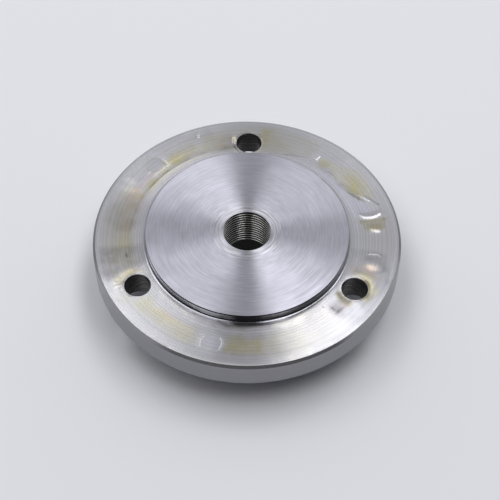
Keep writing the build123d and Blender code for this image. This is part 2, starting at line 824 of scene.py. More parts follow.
def arc(
    stain: StainAndPaintedLight, strength: float, centre: Point, reach: float, width: float,
    first: float = 0.0, last: float = 360.0, edge: float = 0.4, waviness: float = 0.25, film: float = 0.5,
) -> OilArc:
    """Return a mark round a place, at a distance from it and between two directions that point away."""
    return OilArc(stain, strength, edge, waviness, film, centre, reach, width, first, last)


def ridge(start: Point, end: Point, height: float, width: float = 0.35, bow: float = 0.0) -> OilRidge:
    """Return a lip between two places, each a radius and an angle."""
    return OilRidge(start, end, height, width, bow)


# Radius and angle of each bolt hole, in millimetres and degrees, for the marks round it
TOP_HOLE: Point = (33.0, 90.0)
LEFT_HOLE: Point = (33.0, 210.0)
RIGHT_HOLE: Point = (33.0, 330.0)

# Stains multiply each other, and where marks overlap the last one sets the film's thickness. Marks of
# painted highlight and shade are named where they stand
OIL_MARKS: tuple[OilMark, ...] = (
    # Thin film over most of the flange
    band(
        StainAndPaintedLight.OLIVE, 0.35, (58, 32.6, 38.4), (68, 31.2, 38.8), (82, 29.6, 39.4), (112, 30.5, 38.0),
        edge=1.0,
    ),
    band(
        StainAndPaintedLight.OLIVE, 0.5, (72, 32.6, 34.0), (76, 32.0, 36.0), (80, 31.6, 37.4), (83, 31.6, 37.4), edge=2.6,
    ),
    band(StainAndPaintedLight.GREY, 0.4, (106, 31.4, 40.4), (120, 31.4, 40.4), (132, 31.6, 40.4), edge=1.0),
    band(
        StainAndPaintedLight.OLIVE, 0.38, (158, 30.2, 38.6), (175, 30.0, 39.0), (196, 30.0, 38.8), (203, 30, 38), edge=1.1,
    ),
    band(
        StainAndPaintedLight.GREY, 0.6, (157.5, 29.8, 35.5), (160, 29.0, 36.5), (165, 29, 39), (172, 29.4, 38.6),
        (178, 32, 36), edge=2.2,
    ),
    band(
        StainAndPaintedLight.GREY, 0.85, (186.5, 28.5, 40.2), (191, 27.9, 40.6), (197, 27.9, 40.6), (201, 30.2, 40.4),
        edge=1.3,
    ),
    band(StainAndPaintedLight.OLIVE, 0.16, (-16, 31.0, 39.4), (2, 31.0, 39.6), (15, 31.0, 39.2), edge=1.0),
    band(StainAndPaintedLight.BARE, 0.5, (14, 30.0, 36.0), (19, 29.6, 35.0), (27, 29.5, 31.4), (50, 29.5, 31.0), edge=0.5),
    band(
        StainAndPaintedLight.PALE_RESIDUE_AND_HIGHLIGHT, 0.13, (14.5, 30.0, 38.0), (19, 29.6, 37.0), (27, 29.5, 32.4), (33, 29.5, 31.0),
        edge=0.9,
    ),
    # The long streak at the upper right
    band(
        StainAndPaintedLight.AMBER, 0.42, (22.0, 36.5, 38.0), (24, 35.0, 38.0), (26, 33.4, 38.1), (29, 32.0, 38.3),
        (32, 31.4, 38.6), (36, 31.2, 38.5), (40, 31.5, 37.3), (43, 32.2, 36.2), (46, 32.9, 35.5),
        (49, 31.8, 35.5), (51, 31.4, 35.4), (53, 32.4, 34.8), (54, 33.7, 34.5), edge=0.4, waviness=0.5,
    ),
    spot(StainAndPaintedLight.OLIVE, 0.35, 34.6, 31.0, 2.2, 4.0, edge=1.2),
    spot(StainAndPaintedLight.AMBER, 0.4, 34.2, 32.0, 1.9, 4.2, edge=1.3, waviness=0.6),
    spot(StainAndPaintedLight.BLUSH, 0.6, 34.3, 37.3, 0.8, 1.2, edge=0.7),
    spot(StainAndPaintedLight.AMBER, 0.5, 34.3, 31.0, 1.5, 2.0, edge=1.0, waviness=0.5),
    spot(StainAndPaintedLight.OLIVE, 0.6, 33.2, 50.5, 1.3, 1.8, edge=0.7),
    band(StainAndPaintedLight.GREY, 0.6, (23, 33.2, 34.6), (27, 32.2, 34.0), (32, 31.4, 33.4), (37, 30.9, 32.6), edge=0.6),
    band(StainAndPaintedLight.GREY, 0.3, (43, 31.6, 33.6), (48, 31.0, 33.6), (53, 31.2, 33.0), edge=0.7),
    band(StainAndPaintedLight.PALE_RESIDUE_AND_HIGHLIGHT, 0.14, (26, 36.6, 40.4), (36, 36.4, 40.4), (46, 36.2, 39.6), edge=1.2, film=0.0),
    band(
        StainAndPaintedLight.DARK_RESIDUE_AND_SHADE, 0.7, (21.5, 34.2, 34.6), (24, 33.1, 33.6), (26.5, 32.3, 32.8), (30, 31.6, 31.9),
        edge=0.35,
    ),
    band(
        StainAndPaintedLight.DARK_RESIDUE_AND_SHADE, 0.85, (18, 37.5, 37.8), (20, 36.7, 37.1), (22.5, 35.9, 36.3), (25, 35.2, 35.5),
        edge=0.35,
    ),
    band(
        StainAndPaintedLight.DARK_RESIDUE_AND_SHADE, 0.2, (29, 31.6, 31.9), (36, 31.0, 31.3), (44, 32.0, 32.2), (50, 31.1, 31.4), edge=0.25,
    ),
    band(
        StainAndPaintedLight.DARK_RESIDUE_AND_SHADE, 0.35, (59, 32.3, 32.6), (66, 31.2, 31.6), (73, 30.2, 30.5), (79, 29.8, 30.0), edge=0.3,
    ),
    band(StainAndPaintedLight.PALE_RESIDUE_AND_HIGHLIGHT, 0.12, (40, 38.2, 40.6), (60, 36.5, 40.6), (64, 37.5, 40.4), edge=1.2, film=0.0),
    # The two pools below its end
    band(
        StainAndPaintedLight.OLIVE, 0.75, (4.6, 32.6, 36.8), (6.5, 31.5, 37.6), (11, 31.2, 37.9), edge=0.45, waviness=0.5,
    ),
    spot(StainAndPaintedLight.OLIVE, 0.9, 34.6, 10.4, 3.0, 0.4, edge=0.4, waviness=0.2),
    spot(StainAndPaintedLight.BLUSH, 0.5, 34.6, 7.6, 2.2, 0.9, edge=0.6),
    spot(StainAndPaintedLight.AMBER, 0.4, 34.8, 6.0, 1.8, 0.7, edge=0.6),
    # Round the top hole
    band(StainAndPaintedLight.OLIVE, 0.5, (81.0, 31.9, 37.8), (83.6, 31.4, 38.2), edge=1.2, waviness=0.6),
    band(StainAndPaintedLight.AMBER, 0.35, (80.6, 31.5, 38.2), (84.0, 31.0, 38.6), edge=0.8),
    band(StainAndPaintedLight.AMBER, 0.3, (100, 31.4, 36.6), (106, 31.4, 37.0), (110, 31.6, 36.4), edge=1.0),
    band(StainAndPaintedLight.BLUSH, 0.4, (97, 32.0, 36.5), (105, 31.6, 36.0), edge=0.9),
    band(
        StainAndPaintedLight.GREY, 0.7, (96, 30.8, 35.6), (99, 30.6, 36.4), (102, 30.8, 36.2), (105, 31.4, 35.4), edge=1.8,
    ),
    arc(StainAndPaintedLight.DARK_RESIDUE_AND_SHADE, 0.45, TOP_HOLE, 3.9, 0.2, 30.0, 330.0, edge=0.35, waviness=0.5),
    spot(StainAndPaintedLight.AMBER, 0.9, 34.4, 97.0, 0.9, 0.35, edge=0.4, waviness=0.3),
    # The pale spot on the lip and the two thin pale lines at the mouth are painted highlights
    spot(StainAndPaintedLight.PALE_RESIDUE_AND_HIGHLIGHT, 1.0, 34.6, 97.0, 0.8, 0.35, edge=0.4, waviness=0.3),
    arc(StainAndPaintedLight.PALE_RESIDUE_AND_HIGHLIGHT, 1.0, TOP_HOLE, 3.75, 0.12, -75.0, 80.0, edge=0.2, waviness=0.15),
    arc(StainAndPaintedLight.PALE_RESIDUE_AND_HIGHLIGHT, 1.0, TOP_HOLE, 3.85, 0.12, 190.0, 262.0, edge=0.25, waviness=0.25),
    arc(StainAndPaintedLight.DARK_RESIDUE_AND_SHADE, 0.6, TOP_HOLE, 4.35, 0.15, 200.0, 250.0, edge=0.25, waviness=0.45),
    arc(StainAndPaintedLight.PALE_RESIDUE_AND_HIGHLIGHT, 1.0, TOP_HOLE, 4.75, 0.14, 205.0, 240.0, edge=0.25, waviness=0.45),
    arc(StainAndPaintedLight.PALE_RESIDUE_AND_HIGHLIGHT, 1.0, TOP_HOLE, 4.05, 0.15, 290.0, 328.0, edge=0.25, waviness=0.2),
    band(StainAndPaintedLight.DARK_RESIDUE_AND_SHADE, 0.3, (97, 31.4, 32.3), (100, 31.4, 32.0), (105, 31.0, 31.3), edge=0.5, waviness=0.5),
    # Beside the register, upper left
    band(
        StainAndPaintedLight.AMBER, 0.45, (110, 31.9, 35.0), (118, 32.0, 35.0), (124, 31.8, 35.6), (128, 31.7, 35.8),
        (131.5, 31.7, 35.0), (133.4, 31.7, 33.3), (140, 31.7, 32.6), (156, 31.7, 32.8), edge=0.6,
        waviness=0.6,
    ),
    band(
        StainAndPaintedLight.OLIVE, 0.45, (116, 32.2, 36.0), (123, 31.6, 36.2), (130, 31.7, 36.0), edge=0.9, waviness=0.6,
    ),
    band(StainAndPaintedLight.OLIVE, 0.5, (113, 31.7, 32.3), (125, 31.7, 32.6), (158, 31.7, 32.5), edge=0.5, waviness=0.4),
    spot(StainAndPaintedLight.AMBER, 0.6, 33.4, 127.6, 1.5, 2.4, edge=1.1, waviness=0.4),
    band(StainAndPaintedLight.OLIVE, 0.2, (112, 35.2, 38.4), (124, 35.8, 38.6), (131, 36.0, 38.0), edge=1.0),
    band(
        StainAndPaintedLight.OLIVE, 0.35, (141, 30.5, 32.4), (150, 30.5, 33.4), (158, 30.5, 35.2), edge=0.8, waviness=0.6,
    ),
    band(StainAndPaintedLight.BLUSH, 0.8, (138, 33.2, 34.2), (146, 33.0, 34.6), (154, 33.0, 35.0), edge=0.5, waviness=0.4),
    band(
        StainAndPaintedLight.DARK_RESIDUE_AND_SHADE, 0.45, (112, 31.4, 31.6), (140, 31.4, 31.7), (178, 31.5, 31.7), edge=0.25, waviness=0.1,
    ),
    band(
        StainAndPaintedLight.DARK_RESIDUE_AND_SHADE, 0.45, (120, 31.5, 31.6), (130, 31.4, 31.7), (150, 31.4, 31.6), edge=0.25, waviness=0.1,
    ),
    band(
        StainAndPaintedLight.PALE_RESIDUE_AND_HIGHLIGHT, 0.35, (116, 33.4, 33.7), (124, 33.3, 33.8), (132, 33.2, 33.8), edge=0.35, waviness=0.3,
    ),
    band(StainAndPaintedLight.PALE_RESIDUE_AND_HIGHLIGHT, 0.4, (110, 30.7, 31.1), (130, 30.5, 31.2), (150, 30.7, 31.1), edge=0.3, waviness=0.2),
    band(
        StainAndPaintedLight.AMBER, 0.5, (112, 30.5, 31.2), (130, 30.3, 31.3), (152, 30.6, 31.2), edge=0.25, waviness=0.1,
    ),
    band(StainAndPaintedLight.BLUSH, 0.4, (125, 29.5, 30.1), (144, 29.4, 30.1), edge=0.3, waviness=0.2),
    band(
        StainAndPaintedLight.GREY, 0.45, (132.5, 34.0, 38.6), (141, 33.8, 38.8), (149, 34.4, 38.6), edge=0.9, waviness=0.5,
    ),
    spot(StainAndPaintedLight.GREY, 0.3, 35.9, 137.2, 2.1, 2.5, edge=0.3, waviness=0.15, film=0.0),
    arc(StainAndPaintedLight.OLIVE, 0.55, (35.9, 137.2), 2.45, 0.12, edge=0.25, waviness=0.2),
    spot(StainAndPaintedLight.OLIVE, 0.8, 34.4, 133.3, 1.1, 0.3, edge=0.35, waviness=0.1),
    spot(StainAndPaintedLight.PALE_RESIDUE_AND_HIGHLIGHT, 0.6, 34.4, 132.1, 1.5, 0.35, edge=0.4, waviness=0.2),
    band(
        StainAndPaintedLight.PALE_RESIDUE_AND_HIGHLIGHT, 0.6, (133.0, 32.9, 33.4), (137, 32.8, 33.2), (141.5, 33.0, 33.5), edge=0.3,
        waviness=0.2,
    ),
    band(
        StainAndPaintedLight.PALE_RESIDUE_AND_HIGHLIGHT, 0.3, (139.5, 36.2, 36.5), (141, 35.0, 35.4), (143.5, 34.2, 34.5), edge=0.3,
        waviness=0.3,
    ),
    band(StainAndPaintedLight.PALE_RESIDUE_AND_HIGHLIGHT, 0.25, (141, 34.6, 35.0), (145, 35.6, 36.0), (148, 36.4, 36.8), edge=0.4, waviness=0.4),
    band(StainAndPaintedLight.PALE_RESIDUE_AND_HIGHLIGHT, 0.14, (141, 37.0, 39.0), (150, 36.0, 39.0), edge=1.0, waviness=0.6),
    band(
        StainAndPaintedLight.BLUSH, 0.7, (154, 31.6, 35.0), (157, 30.5, 36.4), (160, 30.3, 36.4), (165, 31.0, 35.0),
        edge=0.9, waviness=0.8,
    ),
    band(StainAndPaintedLight.AMBER, 0.3, (152, 33.0, 37.5), (159, 32.0, 37.5), edge=0.9, waviness=0.8),
    spot(StainAndPaintedLight.PALE_RESIDUE_AND_HIGHLIGHT, 0.35, 36.8, 154.6, 1.8, 0.7, edge=0.9, waviness=0.9),
    spot(StainAndPaintedLight.PALE_RESIDUE_AND_HIGHLIGHT, 0.28, 37.6, 150.5, 1.4, 1.2, edge=0.9, waviness=0.9),
    spot(StainAndPaintedLight.PALE_RESIDUE_AND_HIGHLIGHT, 0.35, 33.2, 153.0, 1.3, 0.7, edge=0.6, waviness=0.8),
    # Left, down to the second hole
    band(
        StainAndPaintedLight.OLIVE, 0.4, (161, 32.2, 35.0), (166, 31.7, 35.8), (174, 31.4, 36.0), (182, 31.3, 36.2),
        (190, 31.5, 36.6), (196, 31.5, 37.0), edge=1.0, waviness=0.6,
    ),
    band(StainAndPaintedLight.AMBER, 0.3, (178, 31.6, 34.5), (189, 31.6, 34.8), edge=1.0, waviness=0.6),
    band(StainAndPaintedLight.BLUSH, 0.5, (165, 32.0, 34.4), (178, 31.8, 34.4), edge=0.9, waviness=0.5),
    band(
        StainAndPaintedLight.DARK_RESIDUE_AND_SHADE, 0.22, (188, 29.2, 39.6), (194, 28.6, 40.4), (198, 28.6, 40.4), (202, 30, 40), edge=1.4,
    ),
    band(StainAndPaintedLight.DARK_RESIDUE_AND_SHADE, 0.3, (198, 35.8, 40.4), (203, 36.8, 39.6), edge=0.9, waviness=0.6),
    spot(StainAndPaintedLight.DARK_RESIDUE_AND_SHADE, 0.9, 32.8, 192.2, 0.3, 0.4, edge=0.2, waviness=0.1),
    spot(StainAndPaintedLight.DARK_RESIDUE_AND_SHADE, 0.35, 32.9, 190.6, 0.15, 0.9, edge=0.15, waviness=0.1),
    arc(StainAndPaintedLight.PALE_RESIDUE_AND_HIGHLIGHT, 0.6, LEFT_HOLE, 5.1, 0.9, 78.0, 165.0, edge=0.9, waviness=0.9),
    arc(StainAndPaintedLight.AMBER, 0.35, LEFT_HOLE, 5.0, 0.9, 70.0, 175.0, edge=0.9, waviness=0.8),
    arc(StainAndPaintedLight.PALE_RESIDUE_AND_HIGHLIGHT, 0.3, LEFT_HOLE, 5.4, 0.25, 95.0, 150.0, edge=0.4, waviness=0.6),
    arc(StainAndPaintedLight.PALE_RESIDUE_AND_HIGHLIGHT, 0.5, LEFT_HOLE, 5.9, 0.9, 165.0, 225.0, edge=0.9, waviness=1.0),
    arc(StainAndPaintedLight.OLIVE, 0.5, LEFT_HOLE, 4.5, 0.3, 95.0, 200.0, edge=0.5, waviness=0.6),
    arc(StainAndPaintedLight.DARK_RESIDUE_AND_SHADE, 0.55, LEFT_HOLE, 3.85, 0.15, 100.0, 260.0, edge=0.25, waviness=0.4),
    spot(StainAndPaintedLight.DARK_RESIDUE_AND_SHADE, 0.6, 36.9, 206.0, 0.9, 0.2, edge=0.3, waviness=0.4),
    arc(StainAndPaintedLight.DARK_RESIDUE_AND_SHADE, 0.3, LEFT_HOLE, 4.1, 0.25, 40.0, 75.0, edge=0.4, waviness=0.3),
    arc(StainAndPaintedLight.GREY, 0.8, LEFT_HOLE, 5.1, 0.5, 76.0, 106.0, edge=0.7, waviness=0.4),
    arc(StainAndPaintedLight.GREY, 0.6, LEFT_HOLE, 5.2, 0.6, 152.0, 172.0, edge=0.7, waviness=0.4),
    arc(StainAndPaintedLight.AMBER, 0.25, LEFT_HOLE, 5.2, 1.5, 215.0, 318.0, edge=1.2, waviness=0.6),
    spot(StainAndPaintedLight.PALE_RESIDUE_AND_HIGHLIGHT, 0.6, 37.8, 206.6, 0.5, 0.25, edge=0.3, waviness=0.5),
    spot(StainAndPaintedLight.PALE_RESIDUE_AND_HIGHLIGHT, 0.6, 37.2, 209.0, 0.35, 0.5, edge=0.3, waviness=0.5),
    spot(StainAndPaintedLight.DARK_RESIDUE_AND_SHADE, 0.35, 37.5, 207.8, 0.4, 0.2, edge=0.25, waviness=0.4),
    # Lower left and bottom
    # The next two pale bands brighten the register's foot and the flange beside it in the bright sector:
    # painted highlight
    band(
        StainAndPaintedLight.PALE_RESIDUE_AND_HIGHLIGHT, 0.65, (214, 28.2, 29.0), (225, 28.2, 29.6), (240, 28.2, 29.8), (246, 28.2, 29.0),
        edge=0.8, waviness=0.1,
    ),
    band(StainAndPaintedLight.PALE_RESIDUE_AND_HIGHLIGHT, 0.14, (222, 29.6, 33.4), (232, 29.6, 34.0), (244, 29.8, 33.4), edge=1.6, waviness=0.1),
    band(StainAndPaintedLight.PALE_RESIDUE_AND_HIGHLIGHT, 0.2, (214, 38.3, 40.4), (232, 38.5, 40.3), (246, 38.9, 40.0), edge=0.8, waviness=0.5),
    band(
        StainAndPaintedLight.AMBER, 0.42, (217, 33.8, 36.8), (222, 33.0, 37.2), (232, 32.7, 36.8), (240, 32.4, 37.6),
        (246, 32.3, 37.8), (249.5, 34.2, 36.4), edge=1.1, waviness=0.8,
    ),
    band(StainAndPaintedLight.AMBER, 0.3, (221, 32.6, 34.8), (230, 32.2, 34.6), (246, 33.0, 37.0), edge=1.0, waviness=0.8),
    band(StainAndPaintedLight.OLIVE, 0.25, (220, 33.5, 36.5), (232, 33.5, 36.0), edge=1.0, waviness=0.8),
    spot(StainAndPaintedLight.BLUSH, 0.6, 33.0, 233.0, 0.8, 2.5, edge=0.7, waviness=0.5),
    spot(StainAndPaintedLight.BARE, 0.3, 35.2, 255.9, 2.1, 2.3, edge=0.5, waviness=0.15, film=0.0),
    spot(StainAndPaintedLight.PALE_RESIDUE_AND_HIGHLIGHT, 0.22, 36.0, 254.5, 2.4, 1.8, edge=1.0, waviness=0.5),
    spot(StainAndPaintedLight.PALE_RESIDUE_AND_HIGHLIGHT, 0.3, 35.0, 250.6, 1.7, 0.9, edge=0.8, waviness=0.5),
    band(
        StainAndPaintedLight.GREY, 0.6, (253, 28.6, 30.6), (258, 28.4, 32.4), (262, 28.4, 34.0), (279, 28.6, 33), edge=1.2,
    ),
    band(StainAndPaintedLight.GREY, 0.4, (259, 36.6, 40.6), (270, 37.0, 40.8), (278, 37.4, 40.6), edge=1.0),
    band(
        StainAndPaintedLight.OLIVE, 0.95, (261.6, 32.4, 37.3), (266, 32.0, 37.8), (272, 32.2, 37.6), (277, 33.0, 37.2),
        edge=0.9, waviness=0.6,
    ),
    band(StainAndPaintedLight.AMBER, 0.35, (262.4, 33.0, 36.5), (276, 33.2, 36.4), edge=1.0, waviness=0.6),
    band(StainAndPaintedLight.OLIVE, 0.55, (276, 32.4, 37.6), (283, 33.0, 37.4), edge=2.0, waviness=0.6),
    band(StainAndPaintedLight.DARK_RESIDUE_AND_SHADE, 0.14, (258, 29.5, 40), (267, 29.5, 40), (275, 30.0, 40), edge=1.5),
    # Painted shade along the register's foot on the camera's side
    band(
        StainAndPaintedLight.DARK_RESIDUE_AND_SHADE, 0.75, (255, 27.9, 28.6), (260, 27.9, 29.6), (270, 27.9, 29.5), (279, 27.9, 28.8),
        edge=0.7,
    ),
    band(StainAndPaintedLight.AMBER, 0.25, (281, 31.0, 38.4), (296, 32.0, 38.4), edge=2.4, waviness=0.8),
    # The next four pale bands brighten the bright sector at the lower right, most at the register's foot:
    # painted highlight
    band(
        StainAndPaintedLight.PALE_RESIDUE_AND_HIGHLIGHT, 0.55, (286, 29.0, 40.5), (293, 28.6, 40.8), (308, 28.6, 40.8), (315, 29, 40.6),
        edge=2.8,
    ),
    band(
        StainAndPaintedLight.PALE_RESIDUE_AND_HIGHLIGHT, 0.9, (284, 27.9, 29.6), (290, 27.9, 30.4), (299, 27.9, 30.0), (304, 27.9, 28.8),
        edge=1.2, waviness=0.1,
    ),
    band(StainAndPaintedLight.PALE_RESIDUE_AND_HIGHLIGHT, 0.2, (284, 29.8, 33.0), (293, 29.6, 33.4), (298, 29.8, 32.4), edge=1.6, waviness=0.1),
    band(StainAndPaintedLight.PALE_RESIDUE_AND_HIGHLIGHT, 0.35, (280, 38.9, 40.4), (296, 39.0, 40.4), edge=0.8, waviness=0.2),
    band(StainAndPaintedLight.GREY, 0.4, (300, 28.6, 40.8), (310, 28.6, 40.8), (319, 29.5, 40.8), edge=2.4, waviness=0.4),
    band(StainAndPaintedLight.AMBER, 0.1, (298, 28.6, 39.0), (312, 28.6, 39.0), edge=2.4, waviness=0.4),
    band(
        StainAndPaintedLight.GREY, 0.45, (304, 39.3, 40.85), (318, 39.0, 40.85), (322, 39.0, 40.85), edge=0.8,
        waviness=0.3,
    ),
    # Round the right hole
    spot(StainAndPaintedLight.GREY, 0.8, 35.4, 347.3, 3.0, 3.4, edge=1.0, waviness=0.5),
    band(
        StainAndPaintedLight.GREY, 0.75, (323, 37.6, 40.4), (330, 37.2, 40.6), (340, 36.6, 40.4), (346, 36.6, 39.6),
        edge=1.0,
    ),
    band(StainAndPaintedLight.GREY, 0.6, (333, 28.2, 30.8), (342, 28.2, 32.0), (353, 28.2, 33.6), edge=1.0, waviness=0.4),
    arc(StainAndPaintedLight.OLIVE, 0.45, RIGHT_HOLE, 4.8, 1.0, -50.0, 100.0, edge=1.1, waviness=0.4),
    arc(StainAndPaintedLight.OLIVE, 0.9, RIGHT_HOLE, 3.95, 0.35, -60.0, 60.0, edge=0.6, waviness=0.3),
    arc(StainAndPaintedLight.AMBER, 0.5, RIGHT_HOLE, 4.5, 0.7, -50.0, 85.0, edge=1.0, waviness=0.4),
    arc(StainAndPaintedLight.AMBER, 0.5, RIGHT_HOLE, 5.2, 0.6, -15.0, 60.0, edge=1.0, waviness=0.5),
    arc(StainAndPaintedLight.PALE_RESIDUE_AND_HIGHLIGHT, 0.5, RIGHT_HOLE, 4.7, 0.3, 5.0, 85.0, edge=0.5, waviness=0.5),
    arc(StainAndPaintedLight.PALE_RESIDUE_AND_HIGHLIGHT, 0.5, RIGHT_HOLE, 4.0, 0.25, 65.0, 125.0, edge=0.4, waviness=0.3),
    arc(StainAndPaintedLight.GREY, 0.7, RIGHT_HOLE, 4.7, 0.6, 132.0, 190.0, edge=0.7, waviness=0.3),
    arc(StainAndPaintedLight.AMBER, 0.5, RIGHT_HOLE, 3.95, 0.25, -60.0, 50.0, edge=0.5, waviness=0.3),
    arc(StainAndPaintedLight.GREY, 0.6, RIGHT_HOLE, 5.5, 0.4, 55.0, 140.0, edge=0.7, waviness=0.4),
    arc(StainAndPaintedLight.GREY, 0.5, RIGHT_HOLE, 6.3, 0.6, 10.0, 85.0, edge=0.8, waviness=0.4),
    arc(StainAndPaintedLight.DARK_RESIDUE_AND_SHADE, 0.85, RIGHT_HOLE, 3.8, 0.4, -70.0, 45.0, edge=0.4, waviness=0.3),
    arc(StainAndPaintedLight.DARK_RESIDUE_AND_SHADE, 0.36, RIGHT_HOLE, 4.9, 0.7, 285.0, 333.0, edge=0.8, waviness=0.4),
    arc(StainAndPaintedLight.BLUSH, 0.6, RIGHT_HOLE, 6.8, 0.9, 20.0, 110.0, edge=0.8, waviness=0.5),
    spot(StainAndPaintedLight.BLUSH, 0.8, 34.2, 343.2, 2.2, 1.7, edge=0.6, waviness=0.5),
    spot(StainAndPaintedLight.PALE_RESIDUE_AND_HIGHLIGHT, 1.0, 34.5, 344.4, 1.7, 1.0, edge=0.7, waviness=0.7),
    spot(StainAndPaintedLight.PALE_RESIDUE_AND_HIGHLIGHT, 0.5, 34.8, 345.4, 1.5, 0.7, edge=0.7, waviness=0.9),
    spot(StainAndPaintedLight.PALE_RESIDUE_AND_HIGHLIGHT, 0.9, 34.5, 344.0, 1.3, 0.7, edge=0.6, waviness=0.6),
    arc(StainAndPaintedLight.DARK_RESIDUE_AND_SHADE, 0.16, (34.6, 342.0), 4.0, 0.6, 0.0, 110.0, edge=0.7, waviness=0.4),
    spot(StainAndPaintedLight.OLIVE, 0.8, 34.0, 339.8, 2.4, 0.5, edge=0.7, waviness=0.5),
    arc(StainAndPaintedLight.OLIVE, 0.8, RIGHT_HOLE, 4.8, 1.0, 198.0, 258.0, edge=0.8, waviness=0.4),
    arc(StainAndPaintedLight.DARK_RESIDUE_AND_SHADE, 0.9, RIGHT_HOLE, 4.6, 0.7, 198.0, 250.0, edge=0.9, waviness=0.4),
    arc(StainAndPaintedLight.DARK_RESIDUE_AND_SHADE, 0.6, RIGHT_HOLE, 4.0, 0.3, 250.0, 296.0, edge=0.5, waviness=0.3),
    # A thin pale line along the mouth: painted highlight
    arc(StainAndPaintedLight.PALE_RESIDUE_AND_HIGHLIGHT, 0.5, RIGHT_HOLE, 3.66, 0.06, 165.0, 300.0, edge=0.12, waviness=0.1),
    spot(StainAndPaintedLight.GREY, 0.8, 32.8, 319.0, 1.8, 2.0, edge=0.9, waviness=0.5),
    spot(StainAndPaintedLight.BLUSH, 0.6, 33.4, 319.5, 1.3, 1.4, edge=0.8, waviness=0.5),
    spot(StainAndPaintedLight.GREY, 0.9, 32.8, 315.2, 2.2, 1.4, edge=0.9, waviness=0.4),
    spot(StainAndPaintedLight.DARK_RESIDUE_AND_SHADE, 0.9, 32.3, 314.8, 1.2, 0.5, edge=0.4, waviness=0.4),
    spot(StainAndPaintedLight.DARK_RESIDUE_AND_SHADE, 0.8, 33.8, 316.0, 0.4, 1.0, edge=0.4, waviness=0.3),
    spot(StainAndPaintedLight.DARK_RESIDUE_AND_SHADE, 0.6, 30.3, 312.0, 0.25, 0.25, edge=0.2, waviness=0.1),
    # The tool's rings at the register's foot, after a dark band along the foot that is painted shade
    band(StainAndPaintedLight.DARK_RESIDUE_AND_SHADE, 0.8, (241, 28.2, 28.6), (260, 28.2, 28.6), edge=0.25, waviness=0.05),
    band(StainAndPaintedLight.DARK_RESIDUE_AND_SHADE, 0.18, (224, 30.05, 30.35), (312, 30.05, 30.35), edge=0.2, waviness=0.05),
    band(StainAndPaintedLight.PALE_RESIDUE_AND_HIGHLIGHT, 0.4, (238, 30.5, 30.8), (284, 30.5, 30.8), edge=0.2, waviness=0.05),
    band(StainAndPaintedLight.PALE_RESIDUE_AND_HIGHLIGHT, 0.3, (238, 29.5, 29.75), (290, 29.5, 29.75), edge=0.2, waviness=0.05),
    band(StainAndPaintedLight.PALE_RESIDUE_AND_HIGHLIGHT, 0.3, (278, 28.9, 29.2), (296, 28.9, 29.2), edge=0.25, waviness=0.05),
    # The land's outer edge
    band(
        StainAndPaintedLight.GREY, 0.55, (118, 39.6, 40.85), (135, 39.4, 40.85), (163, 39.6, 40.85), edge=1.2,
        waviness=0.3,
    ),
    # Pale lines along the edge on the camera's side: painted highlight
    band(StainAndPaintedLight.PALE_RESIDUE_AND_HIGHLIGHT, 1.0, (241, 40.5, 40.85), (295, 40.5, 40.85), edge=0.2, waviness=0.1),
    band(StainAndPaintedLight.PALE_RESIDUE_AND_HIGHLIGHT, 0.3, (202, 40.5, 40.85), (240, 40.5, 40.85), edge=0.2, waviness=0.1),
    band(StainAndPaintedLight.GREY, 0.7, (320, 39.6, 40.85), (340, 39.4, 40.85), edge=0.7, waviness=0.2),
)

OIL_RIDGES: tuple[OilRidge, ...] = (
    ridge((32.3, 13.8), (36.9, 13.9), 0.1, 0.7, -0.6),
    ridge((34.2, 6.0), (35.3, 5.4), 0.1, 1.0),
    ridge((34.1, 25.8), (35.6, 21.6), 0.06, 0.2),
    ridge((33.5, 55.0), (34.6, 55.3), 0.075, 0.3, 0.15),
    ridge((34.3, 57.9), (35.0, 56.4), 0.035, 0.25),
    ridge((37.6, 112.4), (39.0, 111.8), 0.06, 0.25),
    ridge((33.3, 97.4), (35.2, 97.0), 0.1, 0.4),
    ridge((33.2, 133.2), (36.2, 132.2), 0.035, 0.4, -0.2),
    ridge((33.2, 259.3), (37.2, 259.3), 0.024, 0.28, 0.7),
    ridge((34.0, 252.2), (36.8, 252.2), 0.013, 0.32, -0.4),
    ridge((33.0, 351.2), (36.0, 351.2), 0.018, 0.3, 0.4),
    ridge((34.2, 205.8), (37.8, 204.6), 0.02, 0.3, 0.2),
)


